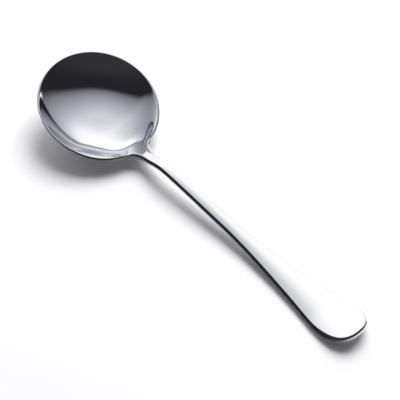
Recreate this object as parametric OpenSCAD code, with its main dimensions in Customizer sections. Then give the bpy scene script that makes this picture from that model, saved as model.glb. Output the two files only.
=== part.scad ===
// Round-bowl spoon, stamped from one sheet of stainless steel.
// +X runs from the bowl to the end of the handle and +Z is up. The spoon lies on the table, hollow side up,
// with the origin on the table below the middle of its length.

/* [Bowl] */
// Width across the rim
bowl_w = 45; // [40:0.5:50]
// Length of the rim, seen from above
bowl_len = 45.5; // [40:0.5:54]
// Depth of the hollow below the rim
bowl_depth = 8.7; // [6.5:0.1:11]
// Thickness of the sheet at the bottom of the bowl
bowl_wall = 1.35; // [0.9:0.05:2.2]
// Width of the flat land round the rim
rim_land = 0.35; // [0.2:0.05:0.8]
// Depth over which the wall of the hollow rolls over into the land
rim_roll = 1.1; // [0.6:0.1:2]
// Height of the upright edge below the land
rim_edge = 1.1; // [0.8:0.1:1.8]
// Tilt of the rim with the front of the bowl up, in degrees
rim_tilt = 14.2; // [6:0.1:17]
// Distance from the middle of the bowl to where the rim begins to level out
rim_level = 6.8; // [3:0.2:9]
// How far the curve of the hollow's floor reaches past the line of the rim, towards the neck
hollow_run = 8; // [4:0.5:12]

/* [Neck] */
// Width at the narrowest place
neck_w = 4.7; // [3:0.1:7]
// Radius of the inward curve from the rim to the neck
neck_fillet = 6.1; // [3:0.1:9]
// Height of the upper edge above the table where the bowl meets the neck
heel_z = 6.3; // [5:0.1:8]
// Steepness of the heel, the ramp from the hollow up to the neck, in degrees
heel_tilt = 31; // [22:0.5:40]
// Distance from the top of the heel to the start of the neck
heel_gap = 0.8; // [0.2:0.1:2.5]
// Width of the land beside the heel
heel_land = 1.1; // [0.6:0.1:1.8]
// Height of the upper edge above the table at the crest of the neck
neck_z = 8.2; // [6.5:0.1:10]
// Thickness of the edge of the neck
neck_t = 2.5; // [1.8:0.1:3.5]
// Length of the neck, up to the start of the handle
neck_len = 24; // [14:1:34]
// Distance along the neck to its crest
crest_run = 8.5; // [6:0.5:12]

/* [Handle] */
// Overall length of the spoon
overall_len = 156.9; // [140:0.1:180]
// Width of the slim part of the handle
shaft_w = 5.5; // [4.5:0.1:8]
// Length of the slim part, from the start of the neck to where the sides begin to flare
slim_len = 41.5; // [30:0.5:55]
// Width where the rounding of the end begins
end_w = 16.2; // [12:0.1:22]
// Length of the rounded end
end_round = 17.4; // [10:0.1:22]
// Distance from the end to the place where the handle rests on the table
rest_back = 18.5; // [12:0.5:28]
// Gap between the table and the turned-up end
end_lift = 3.5; // [0.5:0.1:6]
// Thickness of the edge of the handle
handle_t = 2.6; // [1.8:0.1:3.5]
// Rise of the upper side from its edges to its middle, where the handle is widest
crown = 0.85; // [0.3:0.05:1.2]
// Bevel that breaks the edges
edge_break = 0.3; // [0.1:0.05:0.35]

/* [Hidden] */

// Numbers of sections along the pieces and of points across them
bowl_steps = 44;
heel_steps = 22;
neck_steps = 10;
handle_steps = 34;
bowl_across = 12;
bar_across = 7;

// Fullness of the hollow: 2 is a parabola, more has a flatter floor and steeper walls
fullness = 3.06;
// Easing of the wall beside the heel: 1 is as steep as in front, more is gentler
easing = 1.8;
// Share by which the hollow is deeper at the front of the bowl than in its middle
front_bias = 0.085;
// Softness of the corner at the foot and at the top of the heel
heel_soft = 1;
// Flatness of the crown: 2 is a parabola, more has a flatter middle and rounder sides
crown_power = 3.4;
// Growth of the handle's width towards its end, and roundness of the end
flare_power = 1.62;
end_power = 2.27;

// Distance from the start of the neck back to the lowest place of the shoulders
heel_back = 2;

// Half sizes of the rim, with the middle of the bowl at x = 0
half_bowl = bowl_w / 2;
half_rim = bowl_len / 2;
x_end = overall_len - half_rim;
mid_x = (x_end - half_rim) / 2;

// The inward curve is a circle that touches the rim and the side of the neck
curve_y = neck_w / 2 + neck_fillet;
curve_reach = half_bowl + neck_fillet;
stretch = half_rim / half_bowl;
x_neck = sqrt(curve_reach * curve_reach - curve_y * curve_y) * stretch;
x_touch = x_neck * half_bowl / curve_reach;
x_handle = x_neck + neck_len;

// Places along the handle
x_round = x_end - end_round;
x_rest = x_end - rest_back;
x_flare = x_neck + slim_len;
x_crest = x_neck + crest_run;
x_heel = x_neck - heel_back;
slope = -tan(rim_tilt);

// Depth of the flat that is ground on the underside of the handle where it rests
rest_cut = 0.1;
rest_z = handle_t - rest_cut;

// Small helpers
function mix(a, b, t) = a + (b - a) * t;
function ramp(x, from, to) = let (t = min(max((x - from) / (to - from), 0), 1)) t * t * (3 - 2 * t);
function soft_max(a, b, k) = max(a, b) + pow(max(k - abs(a - b), 0), 2) / (4 * k);
function soft_min(a, b, k) = -soft_max(-a, -b, k);
function signed_pow(a, p) = sign(a) * pow(abs(a), p);
function curve(x, x0, z0, s0, x1, z1, s1) =
    let (d = x1 - x0, t = (x - x0) / d)
    z0 * (1 + 2 * t) * (1 - t) * (1 - t) + d * s0 * t * (1 - t) * (1 - t)
    + z1 * t * t * (3 - 2 * t) + d * s1 * t * t * (t - 1);

// Outline seen from above: rim, inward curve, slim shaft, flare and rounded end
function rim_y(x) = half_bowl * sqrt(max(1 - pow(x / half_rim, 2), 0));
function curve_side(x) = curve_y - sqrt(max(pow(neck_fillet, 2) - pow((x - x_neck) / stretch, 2), 0));
function shaft_y(x) = mix(neck_w, shaft_w, ramp(x, x_neck, x_flare)) / 2;
function flare_y(x) =
    (end_w - shaft_w) / 2 * pow(max(x - x_flare, 0) / (x_round - x_flare), flare_power);
function end_share(x) =
    pow(max(1 - pow(max(x - x_round, 0) / end_round, end_power), 0), 1 / end_power);
function bar_y(x) = shaft_y(x) + flare_y(x);
function half_y(x) = x < x_touch ? rim_y(x) : x < x_neck ? curve_side(x) : bar_y(x) * end_share(x);

// How far out a place lies: 0 in the middle and 1 on the outline
function end_out(x, y) =
    pow(pow((x - x_round) / end_round, end_power) + pow(abs(y) / bar_y(x), end_power), 1 / end_power);
function out(x, y) =
    x < 0 ? norm([x / half_rim, y / half_bowl]) : x > x_round ? end_out(x, y) : abs(y) / half_y(x);

// Width of the land between the hollow and the outline, measured across the spoon
function land_y(x) =
    let (rim = min(rim_land * half_bowl / half_y(x), half_y(x) * 0.4))
    min(mix(rim, heel_land, ramp(x, x_touch - half_bowl / 2, x_neck)), half_y(x) * 0.6);

// The crown rises along the neck and is in proportion to the width of the bar
function crown_z(x) = crown * bar_y(min(x, x_round)) / (end_w / 2) * ramp(x, x_touch, x_crest);

// Thickness at the edge and at the middle
function edge_t(x) = mix(mix(rim_edge, neck_t, ramp(x, rim_level, x_neck)), handle_t, ramp(x, x_neck, x_rest));
function middle_t(x) = mix(bowl_wall, edge_t(x) + crown_z(x), ramp(x, rim_level, x_neck));

// Place in the rear half of the hollow: 0 at the middle of the bowl and 1 at the land; v goes across
function rear_share(x, v) =
    let (along = min(x / (half_rim - rim_land + hollow_run * ramp(x, 0, half_rim)), 0.97))
    norm([along, sqrt(1 - along * along) * v]);
function share(x, y) =
    x < 0 ? norm([x / (half_rim - rim_land), y / (half_bowl - rim_land)])
    : rear_share(x, abs(y) / (half_y(x) - land_y(x)));

// Depth of the hollow below the edge: a round dish that rolls over into the land and meets the heel
function wall_power(x) = mix(1, easing, ramp(x, rim_level, x_touch));
function dish(x, y) =
    bowl_depth * signed_pow(1 - pow(share(x, y), fullness), wall_power(x)) * (1 - front_bias * x / half_rim);
function heel(x) = soft_max(tan(heel_tilt) * (x_neck - heel_gap - x), 0, heel_soft);
function hollow(x, y) =
    let (ramp_depth = heel(x), corner = heel_soft * min(ramp_depth / 2, 1) + 0.001)
    soft_min(soft_max(dish(x, y), 0, rim_roll), ramp_depth, corner);
function sink(x) = hollow(x, 0) - crown_z(x);

// Places of the bowl's sections: close together at its front, even along the inward curve
x_front = -half_rim * cos(1.2);
front_xs = [for (i = [0:bowl_steps]) let (x = -half_rim * cos(3 + 174 * i / bowl_steps)) if (x < rim_level) x];
heel_xs = [for (i = [0:heel_steps]) mix(rim_level, x_neck, i / heel_steps)];
bowl_xs = concat([x_front], front_xs, heel_xs);

// Height of the upper edge: the tilted rim, the heel, the crest of the neck, the slope down to the resting
// place and the turned-up end. The rim stands just high enough for the bowl to touch the table
function falling(x) = pow(min(max((x - x_crest) / (x_rest - x_crest), 0), 1), 0.8);
function turned_up(x) = (handle_t + end_lift - rest_z) * pow(max(x - x_rest, 0) / rest_back, 2);
function shoulder_z(x, start) = curve(x, rim_level, start + slope * rim_level, slope, x_heel, heel_z, 0);
function shoulder_share(x) = shoulder_z(x, 1) - shoulder_z(x, 0);
function touching_z(x) =
    let (under = sink(x) + middle_t(x))
    x < rim_level ? under - slope * x : (under - shoulder_z(x, 0)) / shoulder_share(x);
rim_z = max([for (x = bowl_xs) if (x < half_rim * 0.7) touching_z(x)]);
function edge_z(x) =
    x < rim_level ? rim_z + slope * x
    : x < x_heel ? shoulder_z(x, rim_z)
    : x < x_crest ? mix(heel_z, neck_z, ramp(x, x_heel, x_crest))
    : mix(neck_z, rest_z, ramp(falling(x), 0, 1)) + turned_up(x);

// Points set in from the outline: along the radius in front, straight across elsewhere
function in_x(x, d) = x < 0 && x > x_front ? x * (1 - d / half_rim) : x;
function in_y(x, d) = x < 0 ? half_y(x) * (1 - d / half_bowl) : half_y(x) - min(d, half_y(x) / 3);

// One section: the upper side, the edge, the underside and the other edge
function across(n) = [for (j = [-n:n]) sin(90 * j / n)];
function top_z(x, y) = edge_z(x) - hollow(x, y) + crown_z(x) * (1 - pow(min(out(x, y), 1), crown_power));
function drop(x) = (x < 0 ? bowl_depth * (1 - front_bias * x / half_rim) : sink(x)) + middle_t(x) - edge_t(x);
function lower_share(x, y) =
    x < 0 ? 1 - pow(out(x, y), fullness)
    : let (middle = 1 - pow(rear_share(x, 0), fullness), here = 1 - pow(rear_share(x, abs(y) / half_y(x)), fullness))
    pow(max(here, 0) / middle, wall_power(x));
function bottom_z(x, y) = edge_z(x) - edge_t(x) - drop(x) * lower_share(x, y);
function upper(x, n) =
    let (px = in_x(x, edge_break * 1.6))
    let (reach = x < 0 ? in_y(x, edge_break * 1.6) : half_y(x) - edge_break * 1.6)
    [for (v = across(n)) [px, v * reach, top_z(px, v * reach)]];
function lower(x, n) = [for (v = across(n)) let (y = -v * in_y(x, edge_break)) [x, y, bottom_z(x, y)]];
function edge(x, side) =
    let (y = half_y(x), z = edge_z(x), base = z - edge_t(x))
    let (points = [
        [in_x(x, edge_break), side * in_y(x, edge_break), z],
        [x, side * y, z - edge_break],
        [x, side * y, base + edge_break]])
    side > 0 ? points : [points[2], points[1], points[0]];
function section(x, n) = concat(upper(x, n), edge(x, 1), lower(x, n), edge(x, -1));

// Triangles that close one section, in strips from its upper side to its underside
function strip(a, b, c, d) = [[a, b, c], [a, c, d]];
function cap(start, n) =
    let (top = 2 * n + 1, low = top + 3, ring = 2 * top + 6)
    let (middle = [for (j = [0:top - 2]) each strip(j, j + 1, low + top - 2 - j, low + top - 1 - j)])
    let (left = ring - 3, right = top)
    let (sides = [
        [top - 1, right, right + 1], [top - 1, right + 1, right + 2], [top - 1, right + 2, low],
        [0, low + top - 1, left], [0, left, left + 1], [0, left + 1, left + 2]])
    [for (face = concat(middle, sides)) [for (corner = face) start + corner]];
function turned(faces) = [for (face = faces) [for (i = [len(face) - 1:-1:0]) face[i]]];

// Skin over a row of sections, closed at both ends
module skin(xs, n) {
    points = [for (x = xs) each section(x, n)];
    ring = 2 * (2 * n + 1) + 6;
    sides = [for (i = [0:len(xs) - 2], j = [0:ring - 1])
        let (a = i * ring + j, b = i * ring + (j + 1) % ring)
        each strip(a, b, b + ring, a + ring)];
    front = turned(cap(0, n));
    back = cap((len(xs) - 1) * ring, n);
    translate([-mid_x, 0, 0])
        polyhedron(points, concat(sides, front, back), convexity = 6);
}

function row(from, to, steps) = [for (i = [0:steps]) mix(from, to, i / steps)];
// Sections that draw together towards the rounded end
function end_row(steps) = [for (i = [1:steps]) x_round + end_round * sin(86 * i / steps)];

// The space below the table under the handle
module below_table() {
    translate([x_handle - mid_x, -end_w, -handle_t])
        cube([x_end, 2 * end_w, handle_t]);
}

module bowl() {
    color("silver")
        skin(bowl_xs, bowl_across);
}

module neck() {
    color("silver")
        skin(row(x_neck, x_handle, neck_steps), bar_across);
}

module handle() {
    color("silver")
        difference() {
            skin(concat(row(x_handle, x_round, handle_steps / 2), end_row(handle_steps / 2)), bar_across);
            below_table();
        }
}

bowl();
neck();
handle();
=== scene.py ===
# %% [markdown]
# # A round-bowl spoon in polished steel
#
# A spoon like this is one piece of steel sheet. A flat blank is cut out, pressed between two dies and
# polished. The lesson follows the same order: a flat net is drawn out to the outline, two copies of it are
# pressed to the upper and the lower side and joined along the edge, and the whole is polished.
# The first cell loads the imported model, which gives the frame.

# %% Load the frame
import math

import bmesh
import bpy
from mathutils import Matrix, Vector


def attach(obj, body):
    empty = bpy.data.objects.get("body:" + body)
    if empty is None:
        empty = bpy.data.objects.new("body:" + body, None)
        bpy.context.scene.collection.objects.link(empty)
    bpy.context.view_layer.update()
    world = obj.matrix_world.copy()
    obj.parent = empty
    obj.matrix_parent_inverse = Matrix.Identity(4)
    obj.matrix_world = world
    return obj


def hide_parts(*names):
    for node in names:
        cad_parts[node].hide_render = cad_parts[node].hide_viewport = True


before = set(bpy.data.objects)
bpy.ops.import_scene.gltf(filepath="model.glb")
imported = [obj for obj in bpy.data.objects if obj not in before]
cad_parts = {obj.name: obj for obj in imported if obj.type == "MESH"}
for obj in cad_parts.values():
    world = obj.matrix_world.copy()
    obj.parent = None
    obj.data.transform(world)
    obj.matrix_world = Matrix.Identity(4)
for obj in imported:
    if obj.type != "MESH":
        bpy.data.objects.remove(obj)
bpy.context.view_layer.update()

# %% [markdown]
# ## Places along the spoon
#
# All sizes are in millimetres. The outline has the sizes of the solids. In height a few sizes differ from
# theirs by fractions of a millimetre, because a mirror shows changes that small. While the shape is worked out,
# x is counted from the middle of the bowl, where the bowl's formulas are simple. The finished mesh is
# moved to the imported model's origin at the end.

# %% Sizes of the outline
MM = 0.001
LENGTH = 156.9
HALF_BOWL = 22.5
HALF_RIM = 22.75
NECK_W = 4.7
NECK_FILLET = 6.1
SHAFT_W = 5.5
END_W = 16.2
END_ROUND = 17.4
FLARE_POWER = 1.62

CURVE_Y = NECK_W / 2 + NECK_FILLET
STRETCH = HALF_RIM / HALF_BOWL
X_NECK = math.sqrt((HALF_BOWL + NECK_FILLET) ** 2 - CURVE_Y ** 2) * STRETCH
X_TOUCH = X_NECK * HALF_BOWL / (HALF_BOWL + NECK_FILLET)
X_HEEL = X_NECK - 2
X_CREST = X_NECK + 8.5
X_HANDLE = X_NECK + 24
X_FLARE = X_NECK + 41.5
X_END = LENGTH - HALF_RIM
X_ROUND = X_END - END_ROUND
X_REST = X_END - 18.5
MID_X = (X_END - HALF_RIM) / 2
print("neck from", round(X_NECK - MID_X, 2), "to", round(X_HANDLE - MID_X, 2), "mm")

# %% [markdown]
# ## The outline
#
# Seen from above, the rim is very nearly a circle. A small inward curve takes it into the neck, and the sides
# then widen slowly to the rounded end. Each stretch is a short formula for the half width at a place x.
# A traced curve would do too, but formulas join without bumps, and on a mirror every bump shows.

# %% Outline functions
STEP = 0.01


def mix(a, b, share):
    return a + (b - a) * share


def ramp(x, start, stop):
    """0 before start, 1 after stop, and a smooth rise between them."""
    t = min(max((x - start) / (stop - start), 0.0), 1.0)
    return t * t * (3 - 2 * t)


def bar_half(x):
    """Half width of the bar, before its end is rounded."""
    shaft = mix(NECK_W, SHAFT_W, ramp(x, X_NECK, X_FLARE)) / 2
    flare = (END_W - SHAFT_W) / 2 * (max(x - X_FLARE, 0) / (X_ROUND - X_FLARE)) ** FLARE_POWER
    return shaft + flare


def half_width(x):
    if x < X_TOUCH:
        return HALF_BOWL * math.sqrt(max(1 - (x / HALF_RIM) ** 2, 0))
    if x < X_NECK:
        return CURVE_Y - math.sqrt(NECK_FILLET ** 2 - ((x - X_NECK) / STRETCH) ** 2)
    return bar_half(x)


def lean(x):
    """How much longer a step across the spoon is than a step square to the outline."""
    return math.hypot(1, (half_width(x + STEP) - half_width(x - STEP)) / (2 * STEP))


print("widths of bowl, neck and end", [round(2 * half_width(x), 2) for x in (0, X_NECK, X_ROUND)])

# %% [markdown]
# ## The side view
#
# Seen from the side, the rim tilts with its front up, levels out at the shoulders, rises to the crest of the
# neck, slopes down to the place where the handle rests, and turns up at the end. This is the height of the
# upper edge before it is softened; the sheet is thin at the rim and thick along the bar.

# %% Height and thickness of the edge
RIM_Z = 12.275
RIM_SLOPE = -math.tan(math.radians(14.2))
RIM_LEVEL = 6.8
HEEL_Z = 6.3
NECK_Z = 8.2
REST_Z = 2.5
END_RISE = 3.6
FALL_POWER = 0.8
RIM_EDGE = 1.1
NECK_T = 2.5
HANDLE_T = 2.6


def edge_z(x):
    if x < RIM_LEVEL:
        return RIM_Z + RIM_SLOPE * x
    if x < X_HEEL:
        run = X_HEEL - RIM_LEVEL
        t = (x - RIM_LEVEL) / run
        start = RIM_Z + RIM_SLOPE * RIM_LEVEL
        return (start * (1 + 2 * t) * (1 - t) ** 2 + run * RIM_SLOPE * t * (1 - t) ** 2
                + HEEL_Z * t * t * (3 - 2 * t))
    if x < X_CREST:
        return mix(HEEL_Z, NECK_Z, ramp(x, X_HEEL, X_CREST))
    fall = min((x - X_CREST) / (X_REST - X_CREST), 1) ** FALL_POWER
    rise = END_RISE * (max(x - X_REST, 0) / (X_END - X_REST)) ** 2
    return mix(NECK_Z, REST_Z, ramp(fall, 0, 1)) + rise


def edge_t(x):
    bowl_to_neck = mix(RIM_EDGE, NECK_T, ramp(x, RIM_LEVEL, X_NECK))
    return mix(bowl_to_neck, HANDLE_T, ramp(x, X_NECK, X_REST))


for name, x in (("rim front", -HALF_RIM), ("crest", X_CREST), ("end", X_END)):
    print(name, round(edge_z(x), 2), "mm high")

# %% [markdown]
# ## The hollow
#
# The hollow is a round dish. Towards the neck its walls get gentler and its floor runs up a ramp, the heel, which
# is hollowed a little from side to side. Everywhere the dish rolls over softly into the land of the rim. A hard
# corner there would draw a bright ring round the bowl that a polished spoon doesn't show. soft_max joins
# two surfaces with such a soft corner. A sculpted mesh could have the same form, but its small lumps would show.

# %% Depth of the hollow
BOWL_DEPTH = 8.7
FULLNESS = 3.06
FRONT_BIAS = 0.11
HOLLOW_RUN = 8.0
LAST_SHARE = 0.97
REAR_FULLNESS = 2.2
EASING = 1.7
REAR_START, REAR_STOP = 4.5, 20
RIM_LAND = 0.35
RIM_ROLL = 0.8
RIM_LAND_MOST, LAND_MOST = 0.4, 0.6
HEEL_SLOPE = math.tan(math.radians(23.5))
HEEL_GAP = 0.9
HEEL_TROUGH = 0.022
HEEL_SOFT = 1.0
HEEL_FADE = 2
HEEL_LAND = 1.1
HARD = 0.001


def soft_max(a, b, k):
    """The larger of two heights, rounded where they differ by less than k."""
    return max(a, b) + max(k - abs(a - b), 0) ** 2 / (4 * k)


def floor_share(x):
    """Place along the floor of the rear half, 0 at the middle of the bowl, near 1 at the neck."""
    return min(x / (HALF_RIM - RIM_LAND + HOLLOW_RUN * ramp(x, 0, HALF_RIM)), LAST_SHARE)


def section(x, v):
    """A section across the rear half, 1 at its floor and 0 at the land."""
    rear = ramp(x, REAR_START, REAR_STOP)
    power = mix(FULLNESS, REAR_FULLNESS, rear)
    along = floor_share(x)
    r = math.sqrt(along ** 2 + (1 - along ** 2) * v * v)
    rise = (1 - r ** power) / (1 - along ** power)
    return math.copysign(abs(rise) ** mix(1, EASING, rear), rise)


def land(x):
    half = half_width(x)
    rim = min(RIM_LAND * HALF_BOWL / half, half * RIM_LAND_MOST)
    return min(mix(rim, HEEL_LAND, ramp(x, X_TOUCH - HALF_BOWL / 2, X_NECK)), half * LAND_MOST)


def depth(x):
    """Full depth of the dish, a little more towards the front."""
    return BOWL_DEPTH * (1 - FRONT_BIAS * x / HALF_RIM)


def hollow(x, y):
    """Depth below the edge: the dish with its rolled rim, and the heel that cuts it off."""
    if x < 0:
        dish = 1 - math.hypot(x / (HALF_RIM - RIM_LAND), y / (HALF_BOWL - RIM_LAND)) ** FULLNESS
    else:
        dish = (1 - floor_share(x) ** FULLNESS) * section(x, abs(y) / (half_width(x) - land(x)))
    heel_line = HEEL_Z - HEEL_SLOPE * (X_NECK - HEEL_GAP - x) + HEEL_TROUGH * y * y
    heel = soft_max(edge_z(x) - heel_line, 0, HEEL_SOFT)
    corner = HEEL_SOFT * min(heel / HEEL_FADE, 1) + HARD
    return -soft_max(-soft_max(dish * depth(x), 0, RIM_ROLL), -heel, corner)


print("hollow", round(hollow(0, 0), 2), "mm deep in the middle")

# %% [markdown]
# ## Upper and lower side
#
# The upper side is the edge with the hollow taken away and, along the bar, a low crown added, which is what makes
# the light roll off to both sides of a handle. The lower side follows at the thickness of the sheet and
# stops at the table. Solidify could give the thickness too, but a stamped spoon is thicker along the bar.

# %% Heights of the two sides
BOWL_WALL = 1.45
CROWN = 1.0
CROWN_POWER = 1.8
END_CROWN = 1.7


def crown(x):
    wide = bar_half(min(x, X_ROUND)) / bar_half(X_ROUND)
    return CROWN * wide * ramp(x, X_TOUCH, X_CREST) * mix(1, END_CROWN, ramp(x, X_REST, X_END))


def upper_z(x, y, out):
    return edge_z(x) - hollow(x, y) + crown(x) * (1 - out ** CROWN_POWER)


def lower_z(x, out):
    middle_t = mix(BOWL_WALL, edge_t(x) + crown(x), ramp(x, RIM_LEVEL, X_NECK))
    if x < 0:
        drop = depth(x) + middle_t - edge_t(x)
        return edge_z(x) - edge_t(x) - drop * (1 - out ** FULLNESS)
    drop = hollow(x, 0) - crown(x) + middle_t - edge_t(x)
    return max(edge_z(x) - edge_t(x) - drop * max(section(x, out), 0), 0)


print("deepest place", round(min(upper_z(x, 0, 0) for x in range(22)), 2), "mm above the table")

# %% [markdown]
# ## Rows and rings
#
# The net has rows along the spoon, and rings where it is wrapped on a round end. They lie closer together
# towards the outline. The outermost few are kept for the softened edge that the polishing wheel leaves: small on
# the thin rim, larger on the thick bar. A bevel would soften the edge as well, but by the same amount everywhere.

# %% Spacing of the net
INNER = 26
ROUND = 6
RINGS = INNER + ROUND
CROWDING = 0.4
ROUND_POWER = 1.05
RIM_GAP, BAR_GAP, END_GAP = 0.5, 0.8, 0.3
END_RUN = 10
ROW, FINE_ROW, LONG_ROW = 0.6, 0.2, 0.9
X_SHOULDER = 18


def to_bar(x):
    """0 on the rim, 1 on the bar."""
    return ramp(x, X_TOUCH - 6, X_NECK + 8)


def edge_gap(x):
    """Width of the softened edge."""
    return mix(mix(RIM_GAP, BAR_GAP, to_bar(x)), END_GAP, ramp(x, X_END - END_RUN, X_END))


def ring_share(k, gap):
    """How far out ring k lies, 0 at the middle and 1 on the outline."""
    if k > INNER:
        return 1 - gap + gap * (k - INNER) / ROUND
    s = k / INNER
    return s * (1 + CROWDING - CROWDING * s * s) * (1 - gap)


def ring_fall(k):
    """Share of the softened edge's height that ring k has fallen."""
    return (max(k - INNER, 0) / ROUND) ** ROUND_POWER


def spread(start, stop, step):
    count = round((stop - start) / step)
    return [mix(start, stop, i / count) for i in range(count + 1)]


# The rows are fine at the shoulders, and the two cuts between the pieces fall half way between two rows.
bowl_rows = spread(0, X_SHOULDER, ROW)[1:] + spread(X_SHOULDER, X_NECK - FINE_ROW / 2, FINE_ROW)[1:]
neck_rows = spread(X_NECK + FINE_ROW / 2, X_HANDLE - ROW / 2, ROW)
handle_rows = spread(X_HANDLE + ROW / 2, X_ROUND, LONG_ROW)
body_rows = bowl_rows + neck_rows + handle_rows
rows = RINGS + len(body_rows) + RINGS
print(len(bowl_rows), "rows on the bowl,", len(neck_rows), "on the neck,", len(handle_rows), "on the handle")

# %% [markdown]
# ## The blank
#
# create_grid makes a flat square net. Its rows become the sections along the spoon. At the two round ends
# a row that shrank to a point would pinch the reflections, so there the square corners of the net are
# wrapped round the outline instead, and the inner lines become rings.

# %% Net of the blank
FRONT_CURVE = 2
END_CURVE = 2.27


def cap_place(along, across, power):
    """A crossing of the square net wrapped on a round end: its ring and its place on that ring."""
    ring = max(along, abs(across))
    if ring == 0:
        return 0, 0.0, 0.0
    half = 0.5 ** (1 / power)
    if along >= abs(across):
        s = across / along * half
        return ring, (1 - abs(s) ** power) ** (1 / power), s
    c = along / abs(across) * half
    return ring, c, math.copysign((1 - c ** power) ** (1 / power), across)


def place(row, track):
    """x, y, how far out a crossing of the net lies, and how far it has fallen in the softened edge."""
    across = track - RINGS
    last = row - RINGS - len(body_rows)
    if row < RINGS:
        ring, c, s = cap_place(RINGS - row, across, FRONT_CURVE)
        out = ring_share(ring, edge_gap(0) / HALF_BOWL)
        return -HALF_RIM * out * c, HALF_BOWL * out * s, out, ring_fall(ring)
    if last <= 0:
        x = 0.0 if row == RINGS else body_rows[row - RINGS - 1]
        out = ring_share(abs(across), edge_gap(x) * lean(x) / half_width(x))
        return x, math.copysign(half_width(x) * out, across), out, ring_fall(abs(across))
    ring, c, s = cap_place(last, across, END_CURVE)
    out = ring_share(ring, edge_gap(X_ROUND + END_ROUND * c) / bar_half(X_ROUND))
    x = X_ROUND + END_ROUND * out * c
    return x, bar_half(x) * out * s, out, ring_fall(ring)


bm = bmesh.new()
bmesh.ops.create_grid(bm, x_segments=rows, y_segments=2 * RINGS, size=1)
upper = {v: place(round((v.co.x + 1) / 2 * rows), round((v.co.y + 1) * RINGS)) for v in bm.verts}
print("net of", rows, "by", 2 * RINGS, "faces,", len(bm.verts), "corners")

# %% [markdown]
# ## Pressing
#
# The net is copied. Each corner of the first copy goes to the upper side and each corner of the second to the
# lower side, as between the two halves of a die. The softened edge is lowered ring by ring, and the lower outline
# stands in a little, so that the side of the sheet leans under. bridge_loops then closes the side all
# round. The outline is marked sharp: it keeps the side's reflections apart from those of the softened edge.

# %% Press the two sides
LOWER_ROUND = 0.4
RIM_TUCK, BAR_TUCK = 0.2, 0.4
TUCK_RUN = 6
RIM_DROP, BAR_DROP, END_DROP = 1.0, 0.85, 1.9
LEAST_HALF = 1


def tuck(x):
    """How far the lower outline stands in from the upper one, from the middle of the bowl on."""
    return mix(RIM_TUCK, BAR_TUCK, to_bar(x)) * ramp(x, -TUCK_RUN, TUCK_RUN)


def edge_drop(x):
    """Height of the softened edge; it is steeper where the end of the handle turns up."""
    share = mix(RIM_DROP, BAR_DROP, ramp(x, X_NECK, X_FLARE))
    return edge_gap(x) * mix(share, END_DROP, ramp(x, X_REST, X_END))


copy = bmesh.ops.duplicate(bm, geom=bm.verts[:] + bm.edges[:] + bm.faces[:])
lower = {copy["vert_map"][v]: spot for v, spot in upper.items()}
for v, (x, y, out, fall) in upper.items():
    v.co = (x, y, upper_z(x, y, out) - edge_drop(x) * fall)
for v, (x, y, out, fall) in lower.items():
    inset = 1 - tuck(x) * lean(x) / max(half_width(x), LEAST_HALF)
    v.co = (x, y * inset, lower_z(x, out) + LOWER_ROUND * fall)
bmesh.ops.reverse_faces(bm, faces=[f for f in copy["geom"] if isinstance(f, bmesh.types.BMFace)])
outline = [e for e in bm.edges if e.is_boundary]
for e in outline:
    e.smooth = False
bmesh.ops.bridge_loops(bm, edges=outline)
print("closed:", all(e.is_manifold for e in bm.edges), "lowest", round(min(v.co.z for v in bm.verts), 3))

bmesh.ops.translate(bm, verts=bm.verts, vec=(-MID_X, 0, 0))
bmesh.ops.scale(bm, verts=bm.verts, vec=(MM, MM, MM))
for f in bm.faces:
    f.smooth = True
polished = bpy.data.meshes.new("polished_blank")
bm.to_mesh(polished)
bm.free()

# %% [markdown]
# ## Bowl, neck and handle
#
# The solids divide the spoon on two plane sections, so the shown mesh is cut there as well with bisect_plane.
# Each cut runs through the middle of a row of faces: both halves of such a face keep its direction,
# so the reflections run on across the cut and no seam shows.

# %% Cut the three pieces
ON_PLANE = 1e-8


def cut(bm, x, keep_after):
    found = bmesh.ops.bisect_plane(bm, geom=bm.verts[:] + bm.edges[:] + bm.faces[:], dist=ON_PLANE,
                                   plane_co=((x - MID_X) * MM, 0, 0), plane_no=(1, 0, 0),
                                   clear_inner=keep_after, clear_outer=not keep_after)
    ring = [e for e in found["geom_cut"] if isinstance(e, bmesh.types.BMEdge)]
    for f in bmesh.ops.edgeloop_fill(bm, edges=ring)["faces"]:
        f.smooth = False
    for e in ring:
        e.smooth = False


def piece(name, start, stop):
    bm = bmesh.new()
    bm.from_mesh(polished)
    if start is not None:
        cut(bm, start, True)
    if stop is not None:
        cut(bm, stop, False)
    bmesh.ops.recalc_face_normals(bm, faces=bm.faces)
    mesh = bpy.data.meshes.new("spoon_" + name)
    bm.to_mesh(mesh)
    bm.free()
    obj = bpy.data.objects.new("spoon_" + name, mesh)
    bpy.context.scene.collection.objects.link(obj)
    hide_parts(name)
    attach(obj, "root")
    print(obj.name, len(mesh.polygons), "faces")
    return obj


spoon = [piece("bowl", None, X_NECK), piece("neck", X_NECK, X_HANDLE), piece("handle", X_HANDLE, None)]

# %% [markdown]
# ## Steel
#
# Stainless steel buffed to a mirror. The surface is metal all through, so its colour is the colour of its
# reflections: a light grey with hardly any tint. The buffing wheel leaves the gloss a little uneven,
# in soft patches a few millimetres wide, and very fine lines along the spoon. Real buffing lines are far finer
# than a third of a millimetre; they are drawn that coarse and very shallow, so that they can show at all.

# %% Steel finish
PATCH = 10 / 3
LINE_LENGTH, LINE_WIDTH, LINE_DEPTH = 50 / 3, 1 / 3, 0.003
SMOOTHEST, ROUGHEST = 0.04, 0.08


def linear(hex_colour):
    parts = [int(hex_colour[i:i + 2], 16) / 255 for i in (1, 3, 5)]
    return [p / 12.92 if p <= 0.04045 else ((p + 0.055) / 1.055) ** 2.4 for p in parts] + [1.0]


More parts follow.
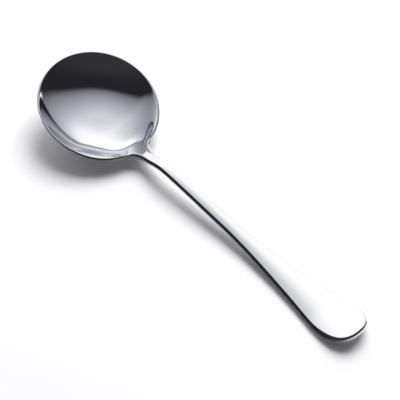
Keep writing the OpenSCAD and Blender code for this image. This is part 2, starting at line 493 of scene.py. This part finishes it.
def add(tree, kind, links=(), inputs=(), **settings):
    """Adds a node with its settings, the values of its inputs, and links given as (from, to)."""
    node = tree.nodes.new(kind)
    for name, value in settings.items():
        setattr(node, name, value)
    for name, value in inputs:
        node.inputs[name].default_value = value
    for source, name in links:
        tree.links.new(source, node.inputs[name])
    return node


def per_metre(size):
    return 1 / (size * MM)


steel = bpy.data.materials.new("mirror_polished_stainless_steel")
steel.use_nodes = True
tree = steel.node_tree
shader = tree.nodes["Principled BSDF"]
shader.inputs["Base Color"].default_value = linear("#E1E1E4")
shader.inputs["Metallic"].default_value = 1.0
where = add(tree, "ShaderNodeTexCoord").outputs["Object"]
patches = add(tree, "ShaderNodeTexNoise", [(where, "Vector")], [("Scale", per_metre(PATCH)), ("Detail", 3)])
gloss = add(tree, "ShaderNodeMapRange", [(patches.outputs["Fac"], "Value")],
            [("From Min", 0.3), ("From Max", 0.7), ("To Min", SMOOTHEST), ("To Max", ROUGHEST)])
tree.links.new(gloss.outputs["Result"], shader.inputs["Roughness"])
along = add(tree, "ShaderNodeMapping", [(where, "Vector")],
            [("Scale", (per_metre(LINE_LENGTH), per_metre(LINE_WIDTH), per_metre(LINE_WIDTH)))])
lines = add(tree, "ShaderNodeTexNoise", [(along.outputs["Vector"], "Vector")], [("Scale", 1), ("Detail", 2)])
bump = add(tree, "ShaderNodeBump", [(lines.outputs["Fac"], "Height")],
           [("Strength", 0.1), ("Distance", LINE_DEPTH * MM)])
tree.links.new(bump.outputs["Normal"], shader.inputs["Normal"])
for obj in spoon:
    obj.data.materials.clear()
    obj.data.materials.append(steel)
print("steel on", len(spoon), "pieces")

# %% [markdown]
# ## Camera
#
# The camera stands where the photograph was taken from: a long lens from in front and above, on the handle's
# side. The picture is cut a little off the lens's middle, which is a small shift. The lens and the shift are
# worked out in pixels of a picture 400 pixels wide.

# %% Camera
AZIMUTH, ELEVATION = math.radians(46.522), math.radians(51.992)
AIM = Vector((-5.7, 0, 8)) * MM
AWAY = 0.70006
PICTURE = 400
LENS, RIGHT, DOWN = 1936.52, 8.898, 12.154
SENSOR = 36

back = Vector((math.sin(AZIMUTH) * math.cos(ELEVATION), -math.cos(AZIMUTH) * math.cos(ELEVATION),
               math.sin(ELEVATION)))
camera = bpy.data.objects.new("camera", bpy.data.cameras.new("camera"))
bpy.context.scene.collection.objects.link(camera)
camera.location = AIM + back * AWAY
camera.rotation_mode = "QUATERNION"
camera.rotation_quaternion = (-back).to_track_quat("-Z", "Y")
camera.data.sensor_width = SENSOR
camera.data.lens = LENS / PICTURE * SENSOR
camera.data.shift_x = RIGHT / PICTURE
camera.data.shift_y = -DOWN / PICTURE
camera.data.clip_start, camera.data.clip_end = 0.01, 20
bpy.context.scene.camera = camera
forward = Vector((-math.sin(AZIMUTH), math.cos(AZIMUTH), 0))
side = Vector((math.cos(AZIMUTH), math.sin(AZIMUTH), 0))
print("camera", round(AWAY / MM), "mm away, lens", round(camera.data.lens), "mm")

# %% [markdown]
# ## Table and lamp
#
# A sheet of white paper, and one large soft lamp behind the spoon, so that the shadow falls forwards. The lamp
# itself isn't seen in the steel: what the steel shows is the room of the next cell. A sun lamp would be
# simpler, but its shadow has a hard edge.

# %% Table and lamp
LAMP_PLACE = forward * 0.615 + side * 0.248 + Vector((0, 0, 0.91))
LAMP_SIZE = 0.75
LAMP_POWER = 13.1

floor_bm = bmesh.new()
bmesh.ops.create_grid(floor_bm, x_segments=1, y_segments=1, size=2)
floor_mesh = bpy.data.meshes.new("floor")
floor_bm.to_mesh(floor_mesh)
floor_bm.free()
floor = bpy.data.objects.new("floor", floor_mesh)
bpy.context.scene.collection.objects.link(floor)
paper = bpy.data.materials.new("white_paper")
paper.use_nodes = True
paper_shader = paper.node_tree.nodes["Principled BSDF"]
paper_shader.inputs["Base Color"].default_value = linear("#FAFAFA")
paper_shader.inputs["Roughness"].default_value = 0.9
floor.data.materials.append(paper)

lamp = bpy.data.objects.new("main_lamp", bpy.data.lights.new("main_lamp", "AREA"))
bpy.context.scene.collection.objects.link(lamp)
lamp.data.size = LAMP_SIZE
lamp.data.energy = LAMP_POWER
lamp.location = LAMP_PLACE
lamp.rotation_mode = "QUATERNION"
lamp.rotation_quaternion = LAMP_PLACE.to_track_quat("Z", "Y")
lamp.visible_glossy = False
print("lamp of", LAMP_POWER, "W,", round(LAMP_PLACE.length, 2), "m away")

# %% [markdown]
# ## Room
#
# A mirror shows the room. Behind the spoon stands a large lit screen that is brightest in its middle and fades
# outwards, and the side of the camera is dark. How nearly a direction points to the screen's middle picks
# the grey from a colour ramp, and a little is added to both sides, which makes the screen wider than it is
# high. Real cards would do the same, but they would stand in other views.

# %% Room
SCREEN_UP = math.radians(38)
SCREEN = forward * math.cos(SCREEN_UP) + Vector((0, 0, math.sin(SCREEN_UP)))
WIDENING = 0.1
BRIGHTNESS = 1.32
GREYS = [(-1.0, "#323234"), (-0.2, "#303032"), (0.1, "#242427"), (0.38, "#222226"), (0.45, "#56565B"),
         (0.5, "#74747B"), (0.6, "#8C8C95"), (0.7, "#A0A0A9"), (0.8, "#B6B6BE"), (0.87, "#D2D2D8"),
         (0.92, "#F0F0F2"), (0.96, "#FFFFFF")]

world = bpy.data.worlds.new("studio")
bpy.context.scene.world = world
world.use_nodes = True
tree = world.node_tree
look = add(tree, "ShaderNodeTexCoord").outputs["Generated"]
to_screen = add(tree, "ShaderNodeVectorMath", [(look, 0)], [(1, SCREEN)], operation="DOT_PRODUCT")
to_side = add(tree, "ShaderNodeVectorMath", [(look, 0)], [(1, side)], operation="DOT_PRODUCT")
side_2 = add(tree, "ShaderNodeMath", [(to_side.outputs["Value"], 0), (to_side.outputs["Value"], 1)],
             operation="MULTIPLY")
wide = add(tree, "ShaderNodeMath", [(side_2.outputs[0], 0), (to_screen.outputs["Value"], 2)], [(1, WIDENING)],
           operation="MULTIPLY_ADD")
fac = add(tree, "ShaderNodeMapRange", [(wide.outputs[0], "Value")], [("From Min", -1), ("From Max", 1)])
greys = add(tree, "ShaderNodeValToRGB", [(fac.outputs["Result"], "Fac")])
stops = greys.color_ramp.elements
stops[0].position, stops[0].color = 0.0, linear(GREYS[0][1])
stops[1].position, stops[1].color = (GREYS[-1][0] + 1) / 2, linear(GREYS[-1][1])
for t, grey in GREYS[1:-1]:
    stops.new((t + 1) / 2).color = linear(grey)
room = tree.nodes["Background"]
room.inputs["Strength"].default_value = BRIGHTNESS
tree.links.new(greys.outputs["Color"], room.inputs["Color"])
bpy.context.scene.view_settings.view_transform = "Standard"
print("room with", len(stops), "greys")
